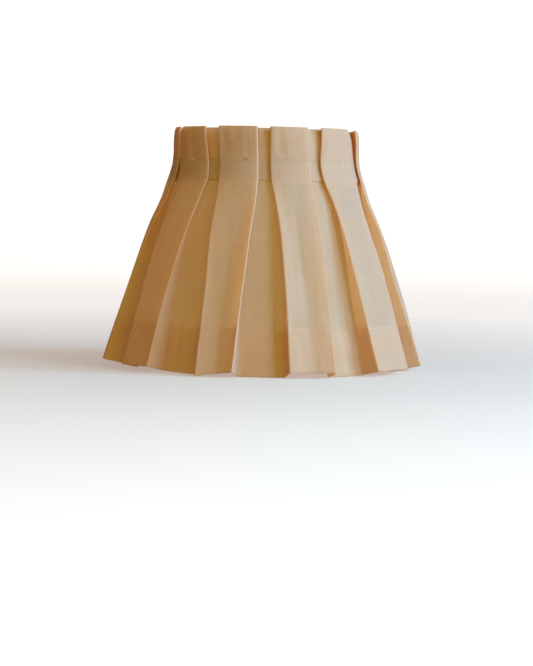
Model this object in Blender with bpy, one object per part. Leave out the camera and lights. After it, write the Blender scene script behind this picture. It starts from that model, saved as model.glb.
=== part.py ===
"""A box-pleated cotton lamp shade on a welded wire frame.

Metres, +Z up. The shade stands on its hem at z = 0, with its axis on Z and the middle of a gap
between two pleats at the front, towards -Y.
"""

import math

import bmesh
import bpy
from mathutils import Vector

MM = 0.001

# Pleated cover. A pleat is a flat box that stands out, with a gap lying back on each side of it.
PLEATS = 10
BOX_WIDTH = 40 * MM
CLOTH = 0.8 * MM
HEADER_HEIGHT = 36 * MM  # the frill above the waist
WAIST_HEIGHT = 14 * MM  # between the two rows of stitching
SKIRT_DROP = 181.5 * MM  # from the lower row of stitching to the hem of the gaps
HEM_DEPTH = 43 * MM  # how far the hem is turned up inside
BOX_HEM_RISE = 4.5 * MM  # the boxes swing out further, so their hems hang higher
TOP_RADIUS = 89 * MM  # of the boxes, as are the next three
WAIST_TOP_RADIUS = 91 * MM
WAIST_RADIUS = 95.2 * MM
HEM_RADIUS = 154 * MM
SKIRT_BULGE = 2.5 * MM  # how far the boxes bow out half-way down
GAP_RECESS = 3.6 * MM  # how far a gap lies behind the boxes above the skirt
HEM_RECESS = 18 * MM  # and how far at the hem
TURN_EDGE = 0.5 * MM  # the slope where a turned-in layer ends

# Wire frame
FIT_GAP = 0.4 * MM  # between pieces that lie on each other
RING_WIRE = 3 * MM
RIB_WIRE = 2.5 * MM
RIBS = 6
RIB_OVERRUN = 2 * MM  # how far a rib runs past each ring
BOTTOM_RING_HEIGHT = 20 * MM
TAPE = 0.7 * MM
TAPE_MARGIN = 1.5 * MM  # of tape above the upper row of stitching

# Fitter, which the lampholder passes through
ARMS = 3
ARM_WIRE = 3 * MM
ARM_BEND = 6 * MM
ARM_SHELF = 8 * MM  # level stretch of an arm over the top ring
FITTER_DROP = 26 * MM  # from the top ring's middle to the fitter's top face
FITTER_BORE = 42 * MM
FITTER_BAND = 9 * MM  # the width of the flat ring around the bore
FITTER_THICKNESS = 2 * MM
REDUCER_BORE = 29 * MM
REDUCER_FLANGE = 2.8 * MM  # how far its flange laps the fitter
REDUCER_FLANGE_THICKNESS = 1.6 * MM
ARM_END_GAP = 1 * MM  # from the flange's edge to an arm's end

# How finely round shapes are cut into facets
BOX_STEPS = 3
GAP_STEPS = 4
SKIRT_ROWS = 5
RING_STEPS = 72
WIRE_STEPS = 8
TURNED_STEPS = 60
BEND_STEPS = 4
SHARP_ANGLE = math.radians(35)  # edges steeper than this are shaded sharp

# Places that follow from the sizes
LOW_STITCH = SKIRT_DROP
HIGH_STITCH = LOW_STITCH + WAIST_HEIGHT
TOP = HIGH_STITCH + HEADER_HEIGHT
WAIST_MIDDLE = (LOW_STITCH + HIGH_STITCH) / 2
PITCH = math.tau / PLEATS
FRONT = -math.pi / 2


def clear_scene():
    for obj in list(bpy.data.objects):
        bpy.data.objects.remove(obj)


def polar(radius, angle, z):
    return Vector((radius * math.cos(angle), radius * math.sin(angle), z))


def material(name, colour, roughness, metallic=0.0):
    made = bpy.data.materials.new(name)
    made.use_nodes = True
    shader = made.node_tree.nodes["Principled BSDF"]
    shader.inputs["Base Color"].default_value = (*colour, 1.0)
    shader.inputs["Roughness"].default_value = roughness
    shader.inputs["Metallic"].default_value = metallic
    return made


def add_object(name, data, look):
    obj = bpy.data.objects.new(name, data)
    bpy.context.scene.collection.objects.link(obj)
    data.materials.append(look)
    return obj


def finish_mesh(name, bm, look, smooth=True):
    """Turns a bmesh into an object with its faces pointing out."""
    bmesh.ops.recalc_face_normals(bm, faces=bm.faces)
    mesh = bpy.data.meshes.new(name)
    bm.to_mesh(mesh)
    bm.free()
    if smooth:
        mesh.shade_smooth()
        mesh.set_sharp_from_angle(angle=SHARP_ANGLE)
    return add_object(name, mesh, look)


def turned(name, profile, look, steps=TURNED_STEPS):
    """A round piece: a closed outline of (radius, height) points, spun around Z."""
    bm = bmesh.new()
    points = [bm.verts.new((radius, 0, z)) for radius, z in profile]
    edges = [bm.edges.new((a, b)) for a, b in zip(points, points[1:] + points[:1])]
    bmesh.ops.spin(
        bm,
        geom=points + edges,
        cent=(0, 0, 0),
        axis=(0, 0, 1),
        angle=math.tau,
        steps=steps,
        use_merge=True,
    )
    return finish_mesh(name, bm, look)


def ring(name, radius, z, wire, look):
    """A hoop of round wire."""
    bpy.ops.mesh.primitive_torus_add(
        major_radius=radius,
        minor_radius=wire / 2,
        major_segments=RING_STEPS,
        minor_segments=WIRE_STEPS,
        location=(0, 0, z),
    )
    hoop = bpy.context.object
    hoop.name = name
    hoop.data.shade_smooth()
    hoop.data.materials.append(look)
    return hoop


def rod(name, points, wire, look):
    """Round wire along a path, with flat ends."""
    curve = bpy.data.curves.new(name, "CURVE")
    curve.dimensions = "3D"
    curve.bevel_depth = wire / 2
    curve.bevel_resolution = WIRE_STEPS // 2 - 2
    curve.use_fill_caps = True
    spline = curve.splines.new("POLY")
    spline.points.add(len(points) - 1)
    for place, point in zip(spline.points, points):
        place.co = (*point, 1.0)
    return add_object(name, curve, look)


def bent(corners, radius):
    """The corners of a path, with an arc of that radius at each inner one."""
    path = [corners[0]]
    for before, corner, after in zip(corners, corners[1:], corners[2:]):
        back, on = (before - corner).normalized(), (after - corner).normalized()
        half = back.angle(on) / 2
        centre = corner + (back + on).normalized() * radius / math.sin(half)
        start = corner + back * radius / math.tan(half) - centre
        end = corner + on * radius / math.tan(half) - centre
        for step in range(BEND_STEPS + 1):
            path.append(centre + start.slerp(end, step / BEND_STEPS) * radius)
    return path + [corners[-1]]


# ---- pleated cover ----


def box_radius(drop):
    """Radius of the boxes in the skirt, where drop goes from 0 at the waist to 1 at the hem."""
    return (
        WAIST_RADIUS
        + (HEM_RADIUS - WAIST_RADIUS) * drop
        + SKIRT_BULGE * 4 * drop * (1 - drop)
    )


def gap_radius(drop):
    """Radius of the gaps in the skirt, which lie straight from the waist to the hem."""
    waist, hem = WAIST_RADIUS - GAP_RECESS, HEM_RADIUS - HEM_RECESS
    return waist + (hem - waist) * drop


def gap_radius_at(z):
    """Radius of the gaps at any height."""
    if z < LOW_STITCH:
        return gap_radius(1 - z / LOW_STITCH)
    if z < HIGH_STITCH:
        share = (z - LOW_STITCH) / WAIST_HEIGHT
        return WAIST_RADIUS + (WAIST_TOP_RADIUS - WAIST_RADIUS) * share - GAP_RECESS
    share = (z - HIGH_STITCH) / HEADER_HEIGHT
    return WAIST_TOP_RADIUS + (TOP_RADIUS - WAIST_TOP_RADIUS) * share - GAP_RECESS


def cover_rows():
    """(box radius, box height, gap radius, gap height, wall) of each row of the cover, top to bottom."""
    turned_in = 2 * CLOTH
    rows = [
        (TOP_RADIUS, TOP, TOP_RADIUS - GAP_RECESS, TOP, turned_in),
        (WAIST_TOP_RADIUS, HIGH_STITCH, WAIST_TOP_RADIUS - GAP_RECESS, HIGH_STITCH, turned_in),
        (WAIST_RADIUS, LOW_STITCH, WAIST_RADIUS - GAP_RECESS, LOW_STITCH, turned_in),
    ]
    edge = TURN_EDGE / SKIRT_DROP
    hem_top = 1 - HEM_DEPTH / SKIRT_DROP
    drops = [(edge, CLOTH)]
    drops += [(hem_top * step / SKIRT_ROWS, CLOTH) for step in range(1, SKIRT_ROWS)]
    drops += [(hem_top - edge, CLOTH), (hem_top, turned_in), ((1 + hem_top) / 2, turned_in), (1, turned_in)]
    for drop, wall in drops:
        box_height = LOW_STITCH - (LOW_STITCH - BOX_HEM_RISE) * drop
        gap_height = LOW_STITCH * (1 - drop)
        rows.append((box_radius(drop), box_height, gap_radius(drop), gap_height, wall))
    return rows


def cover_loop(row, depth):
    """The closed outline of one row, that far in from the cloth's outer face."""
    box_r, box_z, gap_r, gap_z, _ = row
    half = math.asin(BOX_WIDTH / 2 / box_r)
    points = []
    for pleat in range(PLEATS):
        middle = FRONT + (pleat + 0.5) * PITCH
        box_half = half - depth / box_r
        gap_start = middle + half - depth / gap_r
        gap_span = PITCH - 2 * (half - depth / gap_r)
        for step in range(BOX_STEPS + 1):
            angle = middle + box_half * (2 * step / BOX_STEPS - 1)
            points.append(polar(box_r - depth, angle, box_z))
        for step in range(GAP_STEPS + 1):
            angle = gap_start + gap_span * step / GAP_STEPS
            points.append(polar(gap_r - depth, angle, gap_z))
    return points


def skirt_cover(look):
    """The pleated cloth as one shell, two layers thick where it is turned in."""
    bm = bmesh.new()
    rows = cover_rows()
    outer = [[bm.verts.new(p) for p in cover_loop(row, 0)] for row in rows]
    inner = [[bm.verts.new(p) for p in cover_loop(row, row[-1])] for row in rows]
    loops = outer + inner[::-1]
    for above, below in zip(loops, loops[1:] + loops[:1]):
        for i in range(len(above)):
            j = (i + 1) % len(above)
            bm.faces.new((above[i], above[j], below[j], below[i]))
    return finish_mesh("skirt_cover", bm, look)


def inside_cover(z):
    """The largest radius that clears the back of the gaps, where the cloth is doubled."""
    return gap_radius_at(z) - 2 * CLOTH - FIT_GAP


def waist_tape(look):
    """The flat tape that the two rows of stitching hold the pleats to."""
    heights = (LOW_STITCH, HIGH_STITCH, HIGH_STITCH + TAPE_MARGIN)
    outside = [(inside_cover(z), z) for z in heights]
    inside = [(inside_cover(z) - TAPE, z) for z in reversed(heights)]
    return turned("waist_tape", outside + inside, look, RING_STEPS)


# ---- wire frame ----

TOP_RING_RADIUS = inside_cover(WAIST_MIDDLE) - TAPE - FIT_GAP - RING_WIRE / 2
BOTTOM_RING_RADIUS = inside_cover(BOTTOM_RING_HEIGHT) - RING_WIRE / 2
FITTER_TOP = WAIST_MIDDLE - FITTER_DROP
FITTER_OUTER = FITTER_BORE / 2 + FITTER_BAND


def rib(number, look):
    """A straight wire inside both rings."""
    angle = FRONT + (number + 0.5) * math.tau / RIBS
    inset = RING_WIRE / 2 + FIT_GAP + RIB_WIRE / 2
    top = polar(TOP_RING_RADIUS - inset, angle, WAIST_MIDDLE)
    bottom = polar(BOTTOM_RING_RADIUS - inset, angle, BOTTOM_RING_HEIGHT)
    overrun = (top - bottom).normalized() * RIB_OVERRUN
    return rod(f"rib_{number + 1}", [top + overrun, bottom - overrun], RIB_WIRE, look)


def fitter_arm(number, look):
    """A wire that lies on the top ring, and comes down and in to the fitter."""
    angle = FRONT + (number + 0.5) * math.tau / ARMS
    shelf_z = WAIST_MIDDLE + (RING_WIRE + ARM_WIRE) / 2 + FIT_GAP
    foot_z = FITTER_TOP + FIT_GAP + ARM_WIRE / 2
    foot_end = FITTER_BORE / 2 + REDUCER_FLANGE + ARM_END_GAP
    corners = [
        polar(TOP_RING_RADIUS, angle, shelf_z),
        polar(TOP_RING_RADIUS - ARM_SHELF, angle, shelf_z),
        polar(FITTER_OUTER + ARM_BEND, angle, foot_z),
        polar(foot_end, angle, foot_z),
    ]
    return rod(f"fitter_arm_{number + 1}", bent(corners, ARM_BEND), ARM_WIRE, look)


def fitter_ring(look):
    """The flat ring that the lampholder's collar clamps."""
    bottom = FITTER_TOP - FITTER_THICKNESS
    profile = [
        (FITTER_BORE / 2, bottom),
        (FITTER_OUTER, bottom),
        (FITTER_OUTER, FITTER_TOP),
        (FITTER_BORE / 2, FITTER_TOP),
    ]
    return turned("fitter_ring", profile, look)


def reducer_ring(look):
    """A plastic ring dropped into the fitter, for a narrower lampholder. It ends flush below."""
    seat = FITTER_TOP + FIT_GAP
    bottom = FITTER_TOP - FITTER_THICKNESS
    top = seat + REDUCER_FLANGE_THICKNESS
    spigot = FITTER_BORE / 2 - FIT_GAP
    flange = FITTER_BORE / 2 + REDUCER_FLANGE
    profile = [
        (REDUCER_BORE / 2, top),
        (REDUCER_BORE / 2, bottom),
        (spigot, bottom),
        (spigot, seat),
        (flange, seat),
        (flange, top),
    ]
    return turned("reducer_ring", profile, look)


def build():
    clear_scene()
    cotton = material("natural_cotton", (0.80, 0.70, 0.55), 0.92)
    tape = material("cotton_tape", (0.86, 0.82, 0.74), 0.9)
    enamel = material("white_coated_steel", (0.86, 0.85, 0.82), 0.45)
    plastic = material("white_plastic", (0.88, 0.87, 0.84), 0.4)
    skirt_cover(cotton)
    waist_tape(tape)
    ring("top_ring", TOP_RING_RADIUS, WAIST_MIDDLE, RING_WIRE, enamel)
    ring("bottom_ring", BOTTOM_RING_RADIUS, BOTTOM_RING_HEIGHT, RING_WIRE, enamel)
    for number in range(RIBS):
        rib(number, enamel)
    for number in range(ARMS):
        fitter_arm(number, enamel)
    fitter_ring(enamel)
    reducer_ring(plastic)


build()
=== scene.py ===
# %% [markdown]
# # A box-pleated cotton lamp shade
#
# The shade is a strip of unbleached cotton, folded into ten box pleats and sewn to a wire frame. Its looks
# come from three things: crisp folds that stand out of a soft cloth, light that passes through one, two or
# six layers of it, and fine work such as the rows of stitching. This file makes each of them in turn, around
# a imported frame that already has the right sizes.

# %% Load the frame
import math

import bmesh
import bpy
import numpy as np
from mathutils import Matrix, Vector, noise


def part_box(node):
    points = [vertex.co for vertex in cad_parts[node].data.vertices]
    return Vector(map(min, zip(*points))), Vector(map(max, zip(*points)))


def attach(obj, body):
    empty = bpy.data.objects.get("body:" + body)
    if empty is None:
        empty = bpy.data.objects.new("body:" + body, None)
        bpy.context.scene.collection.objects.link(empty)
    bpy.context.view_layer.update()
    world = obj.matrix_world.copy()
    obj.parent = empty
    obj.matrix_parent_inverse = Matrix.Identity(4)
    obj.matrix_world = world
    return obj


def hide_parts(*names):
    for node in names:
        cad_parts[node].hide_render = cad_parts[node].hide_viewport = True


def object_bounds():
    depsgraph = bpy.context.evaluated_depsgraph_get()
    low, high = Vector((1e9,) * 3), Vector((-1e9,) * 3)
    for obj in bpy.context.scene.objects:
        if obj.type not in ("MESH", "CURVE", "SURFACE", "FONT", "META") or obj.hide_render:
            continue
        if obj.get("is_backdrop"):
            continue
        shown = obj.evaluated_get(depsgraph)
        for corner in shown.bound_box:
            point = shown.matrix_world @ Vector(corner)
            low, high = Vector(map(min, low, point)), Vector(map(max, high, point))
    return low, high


MM = 0.001
DEGREE = math.pi / 180
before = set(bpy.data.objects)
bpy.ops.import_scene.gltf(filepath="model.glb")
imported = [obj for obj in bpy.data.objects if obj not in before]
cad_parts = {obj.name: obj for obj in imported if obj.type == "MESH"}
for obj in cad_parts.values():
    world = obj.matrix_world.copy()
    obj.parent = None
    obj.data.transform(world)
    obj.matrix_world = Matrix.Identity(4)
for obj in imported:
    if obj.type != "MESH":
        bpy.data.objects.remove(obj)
cad_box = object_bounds()
print("nodes:", ", ".join(sorted(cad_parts)))

# %% [markdown]
# ## Reading sizes off the frame
#
# A size that is written twice will one day differ. So the heights and radii come from the frame's own nodes:
# the tape marks the two rows of stitching, the rings give their radii, and the cover gives the top and hem.

# %% Read the sizes
cover_low, cover_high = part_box("skirt_cover")
tape_low, tape_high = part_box("waist_tape")
TAPE_MARGIN = 1.5 * MM  # of tape above the upper row of stitching
HEM_Z = cover_low.z
TOP_Z = cover_high.z
LOW_STITCH_Z = tape_low.z
HIGH_STITCH_Z = tape_high.z - TAPE_MARGIN
FRILL = TOP_Z - HIGH_STITCH_Z
WAIST = TOP_Z - LOW_STITCH_Z
DROP = TOP_Z - HEM_Z
FRONT = -math.pi / 2  # the front is towards -Y
print(f"frill {FRILL / MM:.1f} mm, waist ends {WAIST / MM:.1f} mm down, height {DROP / MM:.1f} mm")

# %% [markdown]
# ## Making and tying pieces
#
# Blender keeps an object apart from its data, which is its mesh, its light or its camera. One function makes
# an object for the data and puts it in the scene. Another ties a finished piece to the imported frame: it says
# which body the piece rides on and which node it stands for.


# %% Make and tie a piece
def put(name, data):
    """Makes an object for a mesh, a light or a camera, and puts it in the scene."""
    obj = bpy.data.objects.new(name, data)
    bpy.context.scene.collection.objects.link(obj)
    return obj


def tie(piece, node=None):
    """Ties a piece to the frame. A trimming such as a row of stitches stands for no node."""
    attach(piece, "root")
    if node:
        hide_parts(node)


def polar(radius, angle, z=0.0):
    """The point at a radius and an angle round the shade's axis, at a height."""
    return Vector((radius * math.cos(angle), radius * math.sin(angle), z))


print("the front of the hem is near", [round(c, 3) for c in polar(cover_high.x, FRONT, HEM_Z)])

# %% [markdown]
# Nearly every piece here is a skin through rings of points: the floor, the cloth, the tape, the wires and the
# turned rings of the fitter. A ring always closes on itself. The row of rings can stay open, as on a cloth,
# be capped at both ends, as on a wire, or run into its own start, as on a ring. The outside of an open skin
# follows from its order: rings that go down, with points that go round to the right, face outwards.


# %% Stretch a skin over rings
def skin(name, rings, ends="open"):
    """A smooth mesh through rings of points. Its ends are open, capped or joined."""
    rings = np.array(rings)
    index = np.arange(rings.shape[0] * rings.shape[1]).reshape(rings.shape[:2])
    if ends == "joined":
        index = np.vstack([index, index[:1]])
    onward = np.roll(index, -1, axis=1)
    faces = np.stack([index[:-1], index[1:], onward[1:], onward[:-1]], -1).reshape(-1, 4).tolist()
    if ends == "capped":
        faces += [index[0].tolist(), index[-1].tolist()]
    mesh = bpy.data.meshes.new(name)
    mesh.from_pydata(rings.reshape(-1, 3).tolist(), [], faces)
    if ends != "open":
        face_outwards(mesh)
    mesh.shade_smooth()
    return mesh


def face_outwards(mesh):
    """Turns the faces of a closed mesh so that they all face out."""
    shape = bmesh.new()
    shape.from_mesh(mesh)
    bmesh.ops.recalc_face_normals(shape, faces=shape.faces)
    shape.to_mesh(mesh)
    shape.free()


def lay_flat(mesh, round_way, down):
    """Gives an open skin its map: each corner's place on the flat cloth, in metres."""
    uv = np.zeros((len(down) - 1, len(round_way) - 1, 4, 2), np.float32)
    uv[..., 0] = np.stack([round_way[:-1], round_way[:-1], round_way[1:], round_way[1:]], 1)[None]
    uv[..., 1] = np.stack([down[:-1], down[1:], down[1:], down[:-1]], 1)[:, None]
    mesh.uv_layers.new(name="cloth").data.foreach_set("uv", uv.reshape(-1))


print("skins can be stretched")

# %% [markdown]
# ## Camera
#
# The camera comes first, because every later choice is judged through it. It stands a little over two metres
# away with a long lens, level with the upper half of the shade, so the pleats keep their widths across the
# view. The target is below the shade's middle because the shade sits high in the frame.

# %% Set the camera
CAMERA_DISTANCE = 2.145
CAMERA_HEIGHT = 158 * MM
TARGET = Vector((3.7 * MM, 0, 33 * MM))
LENS = 118.9
ROLL = 1.15 * DEGREE  # the shade leans slightly to the right


def aim(obj, place, target, roll=0.0):
    """Puts an object at a place, with its -Z axis on the target."""
    turn = (target - place).to_track_quat("-Z", "Y").to_matrix() @ Matrix.Rotation(roll, 3, "Z")
    obj.matrix_world = Matrix.Translation(place) @ turn.to_4x4()


camera = put("camera", bpy.data.cameras.new("camera"))
camera.data.lens = LENS
aim(camera, Vector((TARGET.x, -CAMERA_DISTANCE, CAMERA_HEIGHT)), TARGET, ROLL)
bpy.context.scene.camera = camera
print("lens", camera.data.lens, "mm")

# %% [markdown]
# ## Node trees as Python
#
# A procedural material is mostly sums and products of a few patterns. Typed as Math nodes they are hard to
# read, so a small class wraps a node's output and gives it Python's operators. Each operator adds the Math
# node that does the same sum. Any other node comes from one method, `Graph.node`, which sets the node's own
# settings first and then its sockets. Geometry Nodes are built of the same kinds of nodes, so the two classes
# serve for them too.


# %% Wrap sockets and node trees
class Value:
    """A node's output that can be added to, multiplied and so on."""

    def __init__(self, graph, socket):
        self.graph = graph
        self.socket = socket

    def __getitem__(self, output):
        """Another output of the same node."""
        return Value(self.graph, self.socket.node.outputs[output])

    def maths(self, operation, *inputs):
        return self.graph.node("ShaderNodeMath", {"operation": operation}, dict(enumerate(inputs)))

    def __add__(self, other):
        return self.maths("ADD", self, other)

    def __sub__(self, other):
        return self.maths("SUBTRACT", self, other)

    def __rsub__(self, other):
        return self.maths("SUBTRACT", other, self)

    def __mul__(self, other):
        return self.maths("MULTIPLY", self, other)

    def above(self, other):
        return self.maths("GREATER_THAN", self, other)

    def sine(self):
        return self.maths("SINE", self)

    __radd__ = __add__
    __rmul__ = __mul__


class Graph:
    """A tree of nodes, which belongs to a material or makes geometry."""

    def __init__(self, tree, material=None):
        self.tree = tree
        self.material = material
        tree.nodes.clear()

    def feed(self, socket, value):
        if isinstance(value, Value):
            self.tree.links.new(value.socket, socket)
        else:
            socket.default_value = value

    def node(self, kind, settings=None, inputs=None, output=0):
        made = self.tree.nodes.new(kind)
        for name, value in (settings or {}).items():
            if name == "stops":
                self.set_stops(made.color_ramp, value)
            else:
                setattr(made, name, value)
        for name, value in (inputs or {}).items():
            self.feed(made.inputs[name], value)
        return Value(self, made.outputs[output]) if made.outputs else None

    def set_stops(self, ramp, stops):
        while len(ramp.elements) < len(stops):
            ramp.elements.new(0.5)
        for element, (place, colour) in zip(ramp.elements, stops):
            element.position = place
            element.color = (*colour, 1.0)

    def ramp(self, value, *stops):
        """Colours between the stops, each of which is a value and its colour."""
        return self.node("ShaderNodeValToRGB", {"stops": stops}, {"Fac": value})

    def mix(self, factor, first, second):
        """Mixes two colours."""
        return self.node("ShaderNodeMix", {"data_type": "RGBA"}, {0: factor, 6: first, 7: second}, output=2)

    def own_place(self):
        """Each point's place on its object."""
        return self.node("ShaderNodeTexCoord", output="Object")

    def cloth_place(self):
        """Each point's place on the flat cloth."""
        return self.node("ShaderNodeUVMap", {"uv_map": "cloth"})

    def scaled(self, vector, factors):
        """A vector with each of its parts multiplied by its own factor."""
        return self.node("ShaderNodeVectorMath", {"operation": "MULTIPLY"}, {0: vector, 1: factors})

    def noise(self, vector, scale=1.0, detail=2.0, roughness=0.5):
        inputs = {"Vector": vector, "Scale": scale, "Detail": detail, "Roughness": roughness}
        return self.node("ShaderNodeTexNoise", None, inputs)

    def bump(self, height, strength, distance):
        inputs = {"Height": height, "Strength": strength, "Distance": distance}
        return self.node("ShaderNodeBump", None, inputs)

    def surface(self, **inputs):
        """The shader of a surface. An input is named with _ for a space."""
        inputs = {name.replace("_", " "): value for name, value in inputs.items()}
        return self.node("ShaderNodeBsdfPrincipled", None, inputs)

    def finish(self, shader):
        """Ends a material's tree."""
        self.node("ShaderNodeOutputMaterial", None, {"Surface": shader})
        return self.material


def material_graph(name):
    """The empty tree of a new material."""
    material = bpy.data.materials.new(name)
    material.use_nodes = True
    return Graph(material.node_tree, material)


print("node helpers ready")

# %% [markdown]
# ## Floor and light
#
# Cotton this thin is half a lamp itself: much of what is seen in the folds is light that came in at the back,
# lost its blue in the cloth, and came out again at the front. A window to the right of the shade would light
# it like this. It is made of two cool lights side by side, so that the light comes round the folds as it does
# from something wide. A broad yellow fill at the front and a warm surround keep the shaded side golden.
#
# The floor and the round wall are pale paper. The shade doesn't see them, so that their white doesn't wash
# the warm shadows away, and they glow, more so further out, so that they stay light from every side.


# %% Lay the floor and build the wall
COVE_RADIUS = 3.6
COVE_BEND = 0.6
COVE_HEIGHT = 4.0
COVE_SIDES = 96
BEND_STEPS = 8


def cove_paper():
    """Pale paper that is also lit from behind."""
    g = material_graph("pale_paper")
    place = g.own_place()
    colour = g.ramp(g.noise(place, 3.0, 3.0), (0.3, (0.54, 0.56, 0.60)), (0.7, (0.56, 0.58, 0.62)))
    away = g.node("ShaderNodeVectorMath", {"operation": "LENGTH"}, {0: place}, output=1)
    stops = [(0.03, (0.27, 0.27, 0.28)), (0.30, (0.62, 0.62, 0.63)), (0.8, (0.86, 0.86, 0.87))]
    glow = g.ramp(away * (1 / COVE_RADIUS), *stops)
    return g.finish(g.surface(Base_Color=colour, Roughness=0.9, Emission_Color=glow, Emission_Strength=1.0))


def build_cove():
    """A floor that curves up into a round wall."""
    flat = COVE_RADIUS - COVE_BEND
    profile = [(0.001, 0.0), (0.5, 0.0), (2.0, 0.0), (flat, 0.0)]
    for step in range(1, BEND_STEPS + 1):
        turn = step / BEND_STEPS * math.pi / 2
        profile.append((flat + COVE_BEND * math.sin(turn), COVE_BEND - COVE_BEND * math.cos(turn)))
    profile.append((COVE_RADIUS, COVE_HEIGHT))
    turns = [math.tau * i / COVE_SIDES for i in range(COVE_SIDES)]
    mesh = skin("paper_cove", [[polar(radius, turn, z) for turn in turns] for radius, z in profile])
    mesh.materials.append(cove_paper())
    return put("paper_cove", mesh)


cove = build_cove()
cove.visible_diffuse = False
cove.visible_transmission = False
cove.visible_glossy = False
cove.visible_shadow = False
cove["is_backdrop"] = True
print("cove of", COVE_RADIUS, "m radius")

# %% Place the lights
LIGHT_TARGET = Vector((0, 0, 0.11))


def soft_light(name, turn, rise, away, size, power, colour):
    """A softbox aimed at the shade, turned round from the front and raised by angles in degrees."""
    light = bpy.data.lights.new(name, "AREA")
    light.shape = "RECTANGLE"
    light.size, light.size_y = size
    light.energy = power
    light.color = colour
    turn, rise = math.radians(turn), math.radians(rise)
    way = Vector((math.sin(turn) * math.cos(rise), -math.cos(turn) * math.cos(rise), math.sin(rise)))
    aim(put(name, light), LIGHT_TARGET + way * away, LIGHT_TARGET)


soft_light("key", 75, 15, 2.2, (0.8, 0.9), 47, (0.44, 0.77, 1.0))
soft_light("second_key", 45, 22, 2.2, (0.8, 0.9), 22, (0.71, 0.90, 1.0))
soft_light("warm_fill", 5, 10, 4.4, (2.4, 2.0), 45, (0.94, 1.0, 0.07))
world = bpy.data.worlds.new("world")
bpy.context.scene.world = world
world.use_nodes = True
surround = world.node_tree.nodes["Background"]
surround.inputs["Color"].default_value = (0.312, 0.186, 0.091, 1)
surround.inputs["Strength"].default_value = 1.0
bpy.context.scene.view_settings.view_transform = "Standard"
print(len(bpy.data.lights), "lights")

# %% [markdown]
# ## The cloth's section
#
# Seen from above, a box pleat is a flat box, a fold at each edge of it, a riser that runs back from the fold,
# an inner fold, and a gap that leads to the next pleat. At the waist the risers are pressed flat behind the
# boxes. Towards the hem they open until they stand square to them. Cloth doesn't stretch, so a riser keeps
# its width all the way down, apart from just under the waist, where the frame leaves it less room. What
# changes is its angle, and that one angle makes the whole shape.

# %% Describe the pleats
# Left and right edges of each box, in degrees round from the front, at stations down the cloth.
STATIONS = (0.0, FRILL, WAIST, WAIST + 18 * MM, WAIST + 45 * MM, WAIST + 90 * MM, DROP)
LEFT = ((-66.5, -64.5, -61.5, -59.9, -59.8, -59.8, -58.3), (-41.0, -36.3, -34.9, -37.5, -39.2, -41.4, -43.5))
CENTRE_LEFT = ((-31.0, -28.8, -27.8, -27.2, -26.4, -24.8, -23.2), (-5.5, -4.4, -4.2, -4.8, -6.1, -7.7, -9.9))
CENTRE_RIGHT = ((2.3, 2.4, 3.0, 5.1, 7.0, 8.4, 9.4), (26.8, 27.6, 26.8, 27.4, 27.2, 26.9, 26.0))
RIGHT = ((36.0, 34.4, 35.2, 38.6, 40.2, 41.4, 44.0), (63.0, 65.5, 65.4, 64.2, 62.0, 62.4, 63.6))
FAR_RIGHT = ((75.5, 76.5, 77.0, 76.6, 76.0, 75.5, 79.0), (102.0, 104.0, 104.0, 101.8, 99.0, 97.0, 96.0))
FAR_LEFT = ((261, 261, 261, 261.4, 262, 263, 263), (289, 292, 293, 289.5, 286.5, 284.5, 283))
# The boxes at the back are more alike, and have the same half widths.
HALF_WIDTHS = np.array([13.2, 14.2, 14.4, 12.6, 11.0, 9.8, 8.3])
BACK_PLEATS = 4


def back_pleats():
    """The pleats between the far right one and the far left one, each a little out of place and askew."""
    rng = np.random.default_rng(12)
    start, end = np.mean(FAR_RIGHT, axis=0)[-1], np.mean(FAR_LEFT, axis=0)[-1]
    for number in range(BACK_PLEATS):
        centre = start + (end - start) * (number + 1) / (BACK_PLEATS + 1) + rng.uniform(-1.2, 1.2)
        middle = centre + rng.uniform(-1.5, 1.5, len(STATIONS))
        yield middle - HALF_WIDTHS, middle + HALF_WIDTHS


PLEATS = np.array([LEFT, CENTRE_LEFT, CENTRE_RIGHT, RIGHT, FAR_RIGHT, *back_pleats(), FAR_LEFT]) * DEGREE
print(len(PLEATS), "pleats")

# %% [markdown]
# The boxes swing out further than the gaps, so their hems hang a few millimetres higher, and each one a
# little differently. The outline below is the shape of the whole shade: it flares in a soft curve from the
# lower row of stitching.

# %% Describe the outline and the hem
# How far each box and each gap ends above the lowest point, at its start and end, in millimetres.
BOX_HEMS = ((6, 6), (1, 5.2), (5.8, 5.1), (5.6, 5.2), (6, 6), (5, 4.2), (5.5, 5), (4.4, 5), (5, 5.5), (7, 7))
GAP_HEMS = ((2.3, 0.2), (0.2, 0), (0, 1.4), (2, 2), (1.5, 1), (1, 1.5), (0.5, 1), (1, 0.5), (1, 2), (3, 2.5))
# How far the middle of each box and gap is behind its edges, in millimetres. Below 0 it stands out.
BOX_HOLLOW = (1.8, 6.0, 6.0, 1.8, 0.6, 2.4, 1.8, 2.8, 2.0, 0.6)
GAP_SAG = (-0.6, -0.2, -0.4, -0.8, -0.5, -0.2, -0.9, -0.4, -0.7, -0.5)
PRESSED = 3 * DEGREE  # opening of the risers at the waist, where they are pressed flat
TOP_OPEN = 14 * DEGREE
HEM_OPEN = 95 * DEGREE  # a little past square
# The radius of the boxes (second row) at distances down from the top (first row), in millimetres.
OUTLINE = (
    (0, 3, 10, 26, 36, 43, 50, 69, 93, 160, 231.5),
    (87.4, 88.6, 89.6, 90.2, 91.3, 93.0, 95.4, 101.4, 112.0, 134.3, 155.6),
)


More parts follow.
